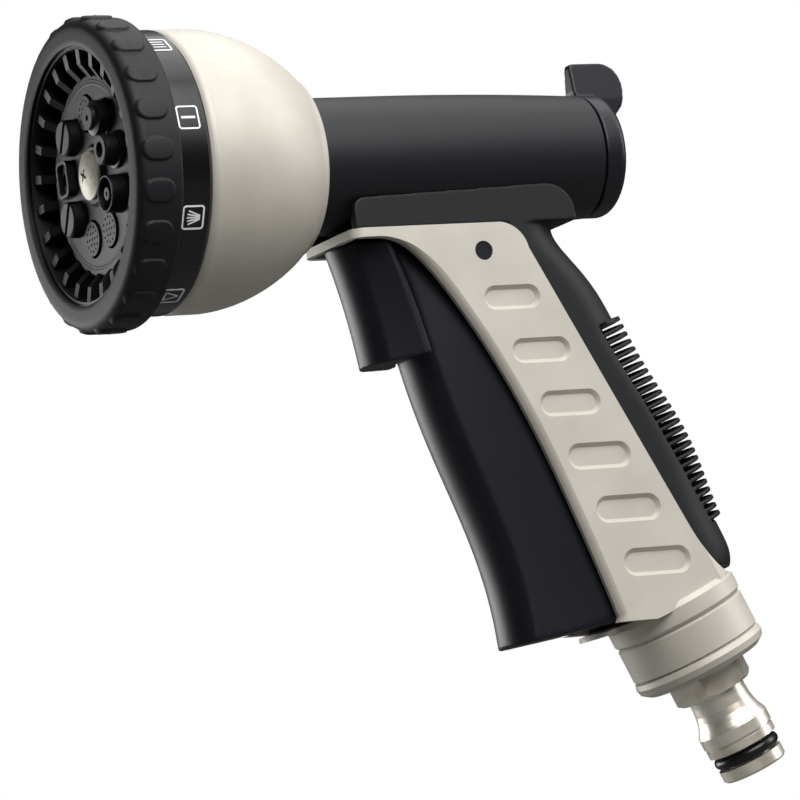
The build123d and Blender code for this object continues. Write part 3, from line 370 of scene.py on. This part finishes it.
MARK_R = 32.34 * MM                 # the index ring's outside
MARK_X = RING_FRONT + 14.5 * MM     # middle of the marks
MARK_START = 9.3                    # degrees from +Y to the first mark
MARK_RISE = 0.10 * MM
MARK_SINK = 0.15 * MM
CENTRE_SHARE = 0.04                 # size of the pinhole in the middle of a filled dot
SPINE_SHARE = 0.06                  # width of the slit along the middle of a stroke


def white_print():
    """Opaque white ink, a little uneven."""
    paint = Shader("white_marks")
    colour = paint.ramp(paint.noise(0.5 * MM, 3), ((0.3, rgb(214, 214, 212)), (0.7, rgb(232, 232, 230))))
    paint.link(colour, paint.bsdf.inputs["Base Color"])
    paint.set(Roughness=0.5)
    paint.bump((paint.noise(0.2 * MM, 2), 0.2, 0.01 * MM))
    return paint.material


def wrapped(bm, angle, across, along, radius):
    """A vertex on the index ring: across runs round the ring and along runs with the barrel."""
    return bm.verts.new(round_barrel(MARK_X + along, radius, angle + across / MARK_R))


def raised_band(bm, angle, outer, inner):
    """A raised closed band between two loops with the same number of (across, along) points."""
    low, high = MARK_R - MARK_SINK, MARK_R + MARK_RISE
    loops = [[wrapped(bm, angle, a, b, r) for a, b in loop]
             for loop, r in ((outer, low), (outer, high), (inner, high), (inner, low))]
    joined_rings(bm, loops)


def rounded_loop(half_across, half_along, corner):
    """Points round a rectangle with rounded corners."""
    steps = 6
    points = []
    for quarter, (side, end) in enumerate(((1, 1), (-1, 1), (-1, -1), (1, -1))):
        for step in range(steps + 1):
            turn = math.radians(90 * quarter + 90 * step / steps)
            points.append((side * (half_across - corner) + corner * math.cos(turn),
                           end * (half_along - corner) + corner * math.sin(turn)))
    return points


def loop_pair(half_across, half_along, corner, line):
    """Outer and inner loops of an outlined rounded rectangle."""
    inside = max(corner - line, 0.02 * MM)
    return (rounded_loop(half_across, half_along, corner),
            rounded_loop(half_across - line, half_along - line, inside))


def raised_dot(bm, angle, across, along, radius, hole=CENTRE_SHARE):
    """A raised disc, or a ring where hole is the share of the radius that is open."""
    outer = [(across + radius * math.cos(math.radians(turn)), along + radius * math.sin(math.radians(turn)))
             for turn in range(0, 360, 20)]
    inner = [(across + (a - across) * hole, along + (b - along) * hole) for a, b in outer]
    raised_band(bm, angle, outer, inner)


def raised_bar(bm, angle, start, end, width):
    """A raised straight stroke between two (across, along) points, in mm."""
    (a0, b0), (a1, b1) = start, end
    run = math.hypot(a1 - a0, b1 - b0)
    side = ((b0 - b1) / run * width / 2, (a1 - a0) / run * width / 2)
    there = [(part, 1) for part in (0, 0.25, 0.5, 0.75, 1)]
    back = [(part, -1) for part in (1, 0.75, 0.5, 0.25, 0)]
    loops = [[((a0 + (a1 - a0) * part + sign * side[0] * share) * MM,
               (b0 + (b1 - b0) * part + sign * side[1] * share) * MM) for part, sign in there + back]
             for share in (1.0, SPINE_SHARE)]
    raised_band(bm, angle, *loops)


def mark_symbol(bm, angle, kind):
    """A generic spray symbol inside a mark's frame."""
    if kind == "bar":
        raised_bar(bm, angle, (0, -1.7), (0, 1.7), 0.55)
    elif kind == "fan":
        for end in (-1.6, -0.8, 0.0, 0.8, 1.6):
            raised_bar(bm, angle, (0.25 * end, 1.6), (end, -1.6 + 0.25 * abs(end)), 0.32)
    elif kind == "cone":
        raised_bar(bm, angle, (0, 1.6), (-1.5, -1.4), 0.32)
        raised_bar(bm, angle, (0, 1.6), (1.5, -1.4), 0.32)
        raised_bar(bm, angle, (-1.6, -1.6), (1.6, -1.6), 0.32)
    elif kind == "ring":
        raised_dot(bm, angle, 0, 0, 1.5 * MM, 0.72)
    elif kind == "dots":
        for a in (-1.2, 0, 1.2):
            for b in (-1.2, 0, 1.2):
                raised_dot(bm, angle, a * MM, b * MM, 0.3 * MM)
    elif kind == "ring dot":
        raised_dot(bm, angle, 0, 0, 1.5 * MM, 0.76)
        raised_dot(bm, angle, 0, 0, 0.5 * MM)
    elif kind == "cross":
        raised_bar(bm, angle, (-1.4, 0), (1.4, 0), 0.4)
        raised_bar(bm, angle, (0, 0.3), (0, 1.5), 0.4)
    elif kind == "square":
        raised_band(bm, angle, *loop_pair(1.3 * MM, 1.3 * MM, 0.3 * MM, 0.35 * MM))
    elif kind == "lines":
        for a in (-1.2, 0, 1.2):
            raised_bar(bm, angle, (a, -1.5), (a, 1.5), 0.3)


MARKS = ("square", "dots", "ring", "lines", "bar", "fan", "cone", "ring dot", "cross")


def marks_mesh(bm):
    """A framed symbol for each of the nine spray patterns."""
    for index, kind in enumerate(MARKS):
        angle = math.radians(MARK_START + 360 / len(MARKS) * index)
        raised_band(bm, angle, *loop_pair(2.8 * MM, 2.65 * MM, 0.8 * MM, 0.38 * MM))
        mark_symbol(bm, angle, kind)


piece("index_marks", marks_mesh, "turret", "gloss_black", finish=white_print())


# ---------- the spray plate's fine ring of dimples ----------

BAND_X = RING_FRONT + 4.54 * MM     # the band's face, just in front of the plate
BAND_MIDDLE_R = 21.0 * MM
BAND_HALF = 0.7 * MM
BAND_THICK = 0.3 * MM
DIMPLE_COUNT = 120
DIMPLE_COLUMNS = 8                  # mesh columns for each dimple
DIMPLE_R = 0.40 * MM
DIMPLE_WALL = 0.22 * MM
DIMPLE_DEPTH = 0.16 * MM


def band_sink(column, out):
    """How far the band's face lies back: in a dimple, and along the band's eased edges."""
    aside = (column % DIMPLE_COLUMNS - DIMPLE_COLUMNS / 2) / DIMPLE_COLUMNS * 360 / DIMPLE_COUNT
    reach = math.hypot(math.radians(aside) * BAND_MIDDLE_R, out)
    edge = 1 - ease((BAND_HALF - abs(out)) / (0.25 * MM))
    return DIMPLE_DEPTH * ease((DIMPLE_R - reach) / DIMPLE_WALL) + 0.1 * MM * edge


def dimple_mesh(bm):
    """A thin band on the plate with a ring of small round dimples."""
    columns = DIMPLE_COUNT * DIMPLE_COLUMNS
    angles = [math.radians(360 * column / columns) for column in range(columns)]
    steps = 12
    rings = []
    for step in range(steps + 1):
        out = BAND_HALF * (2 * step / steps - 1)
        rings.append([bm.verts.new(round_barrel(BAND_X + band_sink(column, out), BAND_MIDDLE_R + out, angle))
                      for column, angle in enumerate(angles)])
    for out in (BAND_HALF, -BAND_HALF):
        rings.append([bm.verts.new(round_barrel(BAND_X + BAND_THICK, BAND_MIDDLE_R + out, angle))
                      for angle in angles])
    joined_rings(bm, rings)


piece("plate_dimples", dimple_mesh, "turret", "moulded_black")


# ---------- softened copies of the moulded parts ----------

def moulded_copy(name, node, body, slot, voxel, passes):
    """A softly rounded skin over a CAD solid: closed, evenly meshed, with its edges relaxed."""
    source = frame["nodes"][node]
    made = bpy.data.objects.new(name, source.data.copy())
    bpy.context.scene.collection.objects.link(made)
    made.matrix_world = source.matrix_world
    skin = made.modifiers.new("skin", "REMESH")
    skin.mode = "VOXEL"
    skin.voxel_size = voxel
    skin.use_smooth_shade = True
    relax = made.modifiers.new("relax", "SMOOTH")
    relax.factor = 0.5
    relax.iterations = passes
    made.data.materials.clear()
    made.data.materials.append(FINISHES[slot])
    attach(made, body)
    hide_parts(node)


moulded_copy("soft_grip_detailed", "soft_grip", "handle", "soft_touch_black", 0.30 * MM, 4)
moulded_copy("trigger_lever_detailed", "trigger_lever", "trigger", "satin_black", 0.45 * MM, 6)
moulded_copy("trigger_lock_detailed", "trigger_lock", "lock", "satin_black", 0.32 * MM, 8)
moulded_copy("flow_knob_detailed", "flow_knob", "knob", "satin_black", 0.28 * MM, 6)


# ---------- small rounded edges on the hard parts ----------

EDGE_WIDTHS = {
    "frame_left": 0.25, "frame_right": 0.25, "collar": 0.25, "hose_nipple": 0.15, "barrel_sleeve": 0.3,
    "pivot_caps": 0.2, "jet_insert": 0.15, "ring_insert": 0.15, "cone_insert": 0.12, "fan_inserts": 0.2,
    "square_insert": 0.2, "index_ring": 0.1,
}


def ease_edges(node, width):
    """Rounds a hard part's sharp edges a little, so that they catch the light."""
    edge = frame["nodes"][node].modifiers.new("edges", "BEVEL")
    edge.width = width
    edge.segments = 2
    edge.limit_method = "ANGLE"
    edge.angle_limit = math.radians(35)
    edge.harden_normals = True


for hard_part, edge_width in EDGE_WIDTHS.items():
    ease_edges(hard_part, edge_width * MM)


# ---------- studio ----------

def make_camera():
    """A long lens, a little below the object and in front of its spray head, slightly rolled."""
    azimuth, elevation, roll = math.radians(-26.72), math.radians(-7.50), math.radians(7.12)
    target = Vector((-79.71, 0, 90.33)) * MM
    distance = 1221.3 * MM
    back = Vector((math.sin(azimuth) * math.cos(elevation), -math.cos(azimuth) * math.cos(elevation),
                   math.sin(elevation)))
    camera = bpy.data.objects.new("camera", bpy.data.cameras.new("camera"))
    bpy.context.scene.collection.objects.link(camera)
    level = (-back).to_track_quat("-Z", "Y").to_matrix()
    turn = (level @ Matrix.Rotation(-roll, 3, "Z")).to_4x4()
    camera.matrix_world = Matrix.Translation(target + back * distance) @ turn
    camera.data.sensor_width = 36
    camera.data.lens = 239.93
    camera.data.clip_start = 0.01
    bpy.context.scene.camera = camera


def softbox(name, place, size, power):
    """A rectangular area light at a place given from the object's middle, facing it."""
    middle = (CAD_BOX[0] + CAD_BOX[1]) / 2
    light = bpy.data.lights.new(name, "AREA")
    light.shape = "RECTANGLE"
    light.size, light.size_y = size
    light.energy = power
    lamp = bpy.data.objects.new(name, light)
    bpy.context.scene.collection.objects.link(lamp)
    lamp.location = middle + Vector(place)
    lamp.rotation_euler = (middle - lamp.location).to_track_quat("-Z", "Y").to_euler()


def make_studio():
    """A dim grey surround that the camera sees as white, with four soft lights."""
    world = bpy.data.worlds.new("studio")
    bpy.context.scene.world = world
    world.use_nodes = True
    tree = world.node_tree
    ground = tree.nodes["Background"]
    ground.inputs["Strength"].default_value = 0.14
    seen = tree.nodes.new("ShaderNodeBackground")
    seen.inputs["Color"].default_value = (1, 1, 1, 1)
    seen.inputs["Strength"].default_value = 1.0
    path = tree.nodes.new("ShaderNodeLightPath")
    mix = tree.nodes.new("ShaderNodeMixShader")
    tree.links.new(path.outputs["Is Camera Ray"], mix.inputs["Fac"])
    tree.links.new(ground.outputs[0], mix.inputs[1])
    tree.links.new(seen.outputs[0], mix.inputs[2])
    tree.links.new(mix.outputs[0], tree.nodes["World Output"].inputs["Surface"])
    softbox("key", (-0.05, -0.80, 0.72), (0.9, 0.9), 19)
    softbox("top", (0.2, 0.15, 0.9), (1.0, 0.8), 7)
    softbox("left_rim", (-0.50, 0.85, -0.25), (0.8, 1.0), 14)
    softbox("right_fill", (0.9, -0.3, 0.45), (0.4, 0.9), 6)
    bpy.context.scene.view_settings.view_transform = "Standard"


def make_floor():
    """A grey floor well below the object."""
    mesh = bpy.data.meshes.new("floor")
    half, drop = 6.0, 0.12
    z = CAD_BOX[0].z - drop
    mesh.from_pydata([(-half, -half, z), (half, -half, z), (half, half, z), (-half, half, z)], [],
                     [(0, 1, 2, 3)])
    floor = bpy.data.objects.new("floor", mesh)
    bpy.context.scene.collection.objects.link(floor)
    pale = Shader("floor")
    pale.set(Roughness=0.7)
    tint = pale.ramp(pale.noise(0.3, 2), ((0.3, rgb(100, 100, 99)), (0.7, rgb(108, 108, 107))))
    pale.link(tint, pale.bsdf.inputs["Base Color"])
    mesh.materials.append(pale.material)


make_camera()
make_studio()
make_floor()
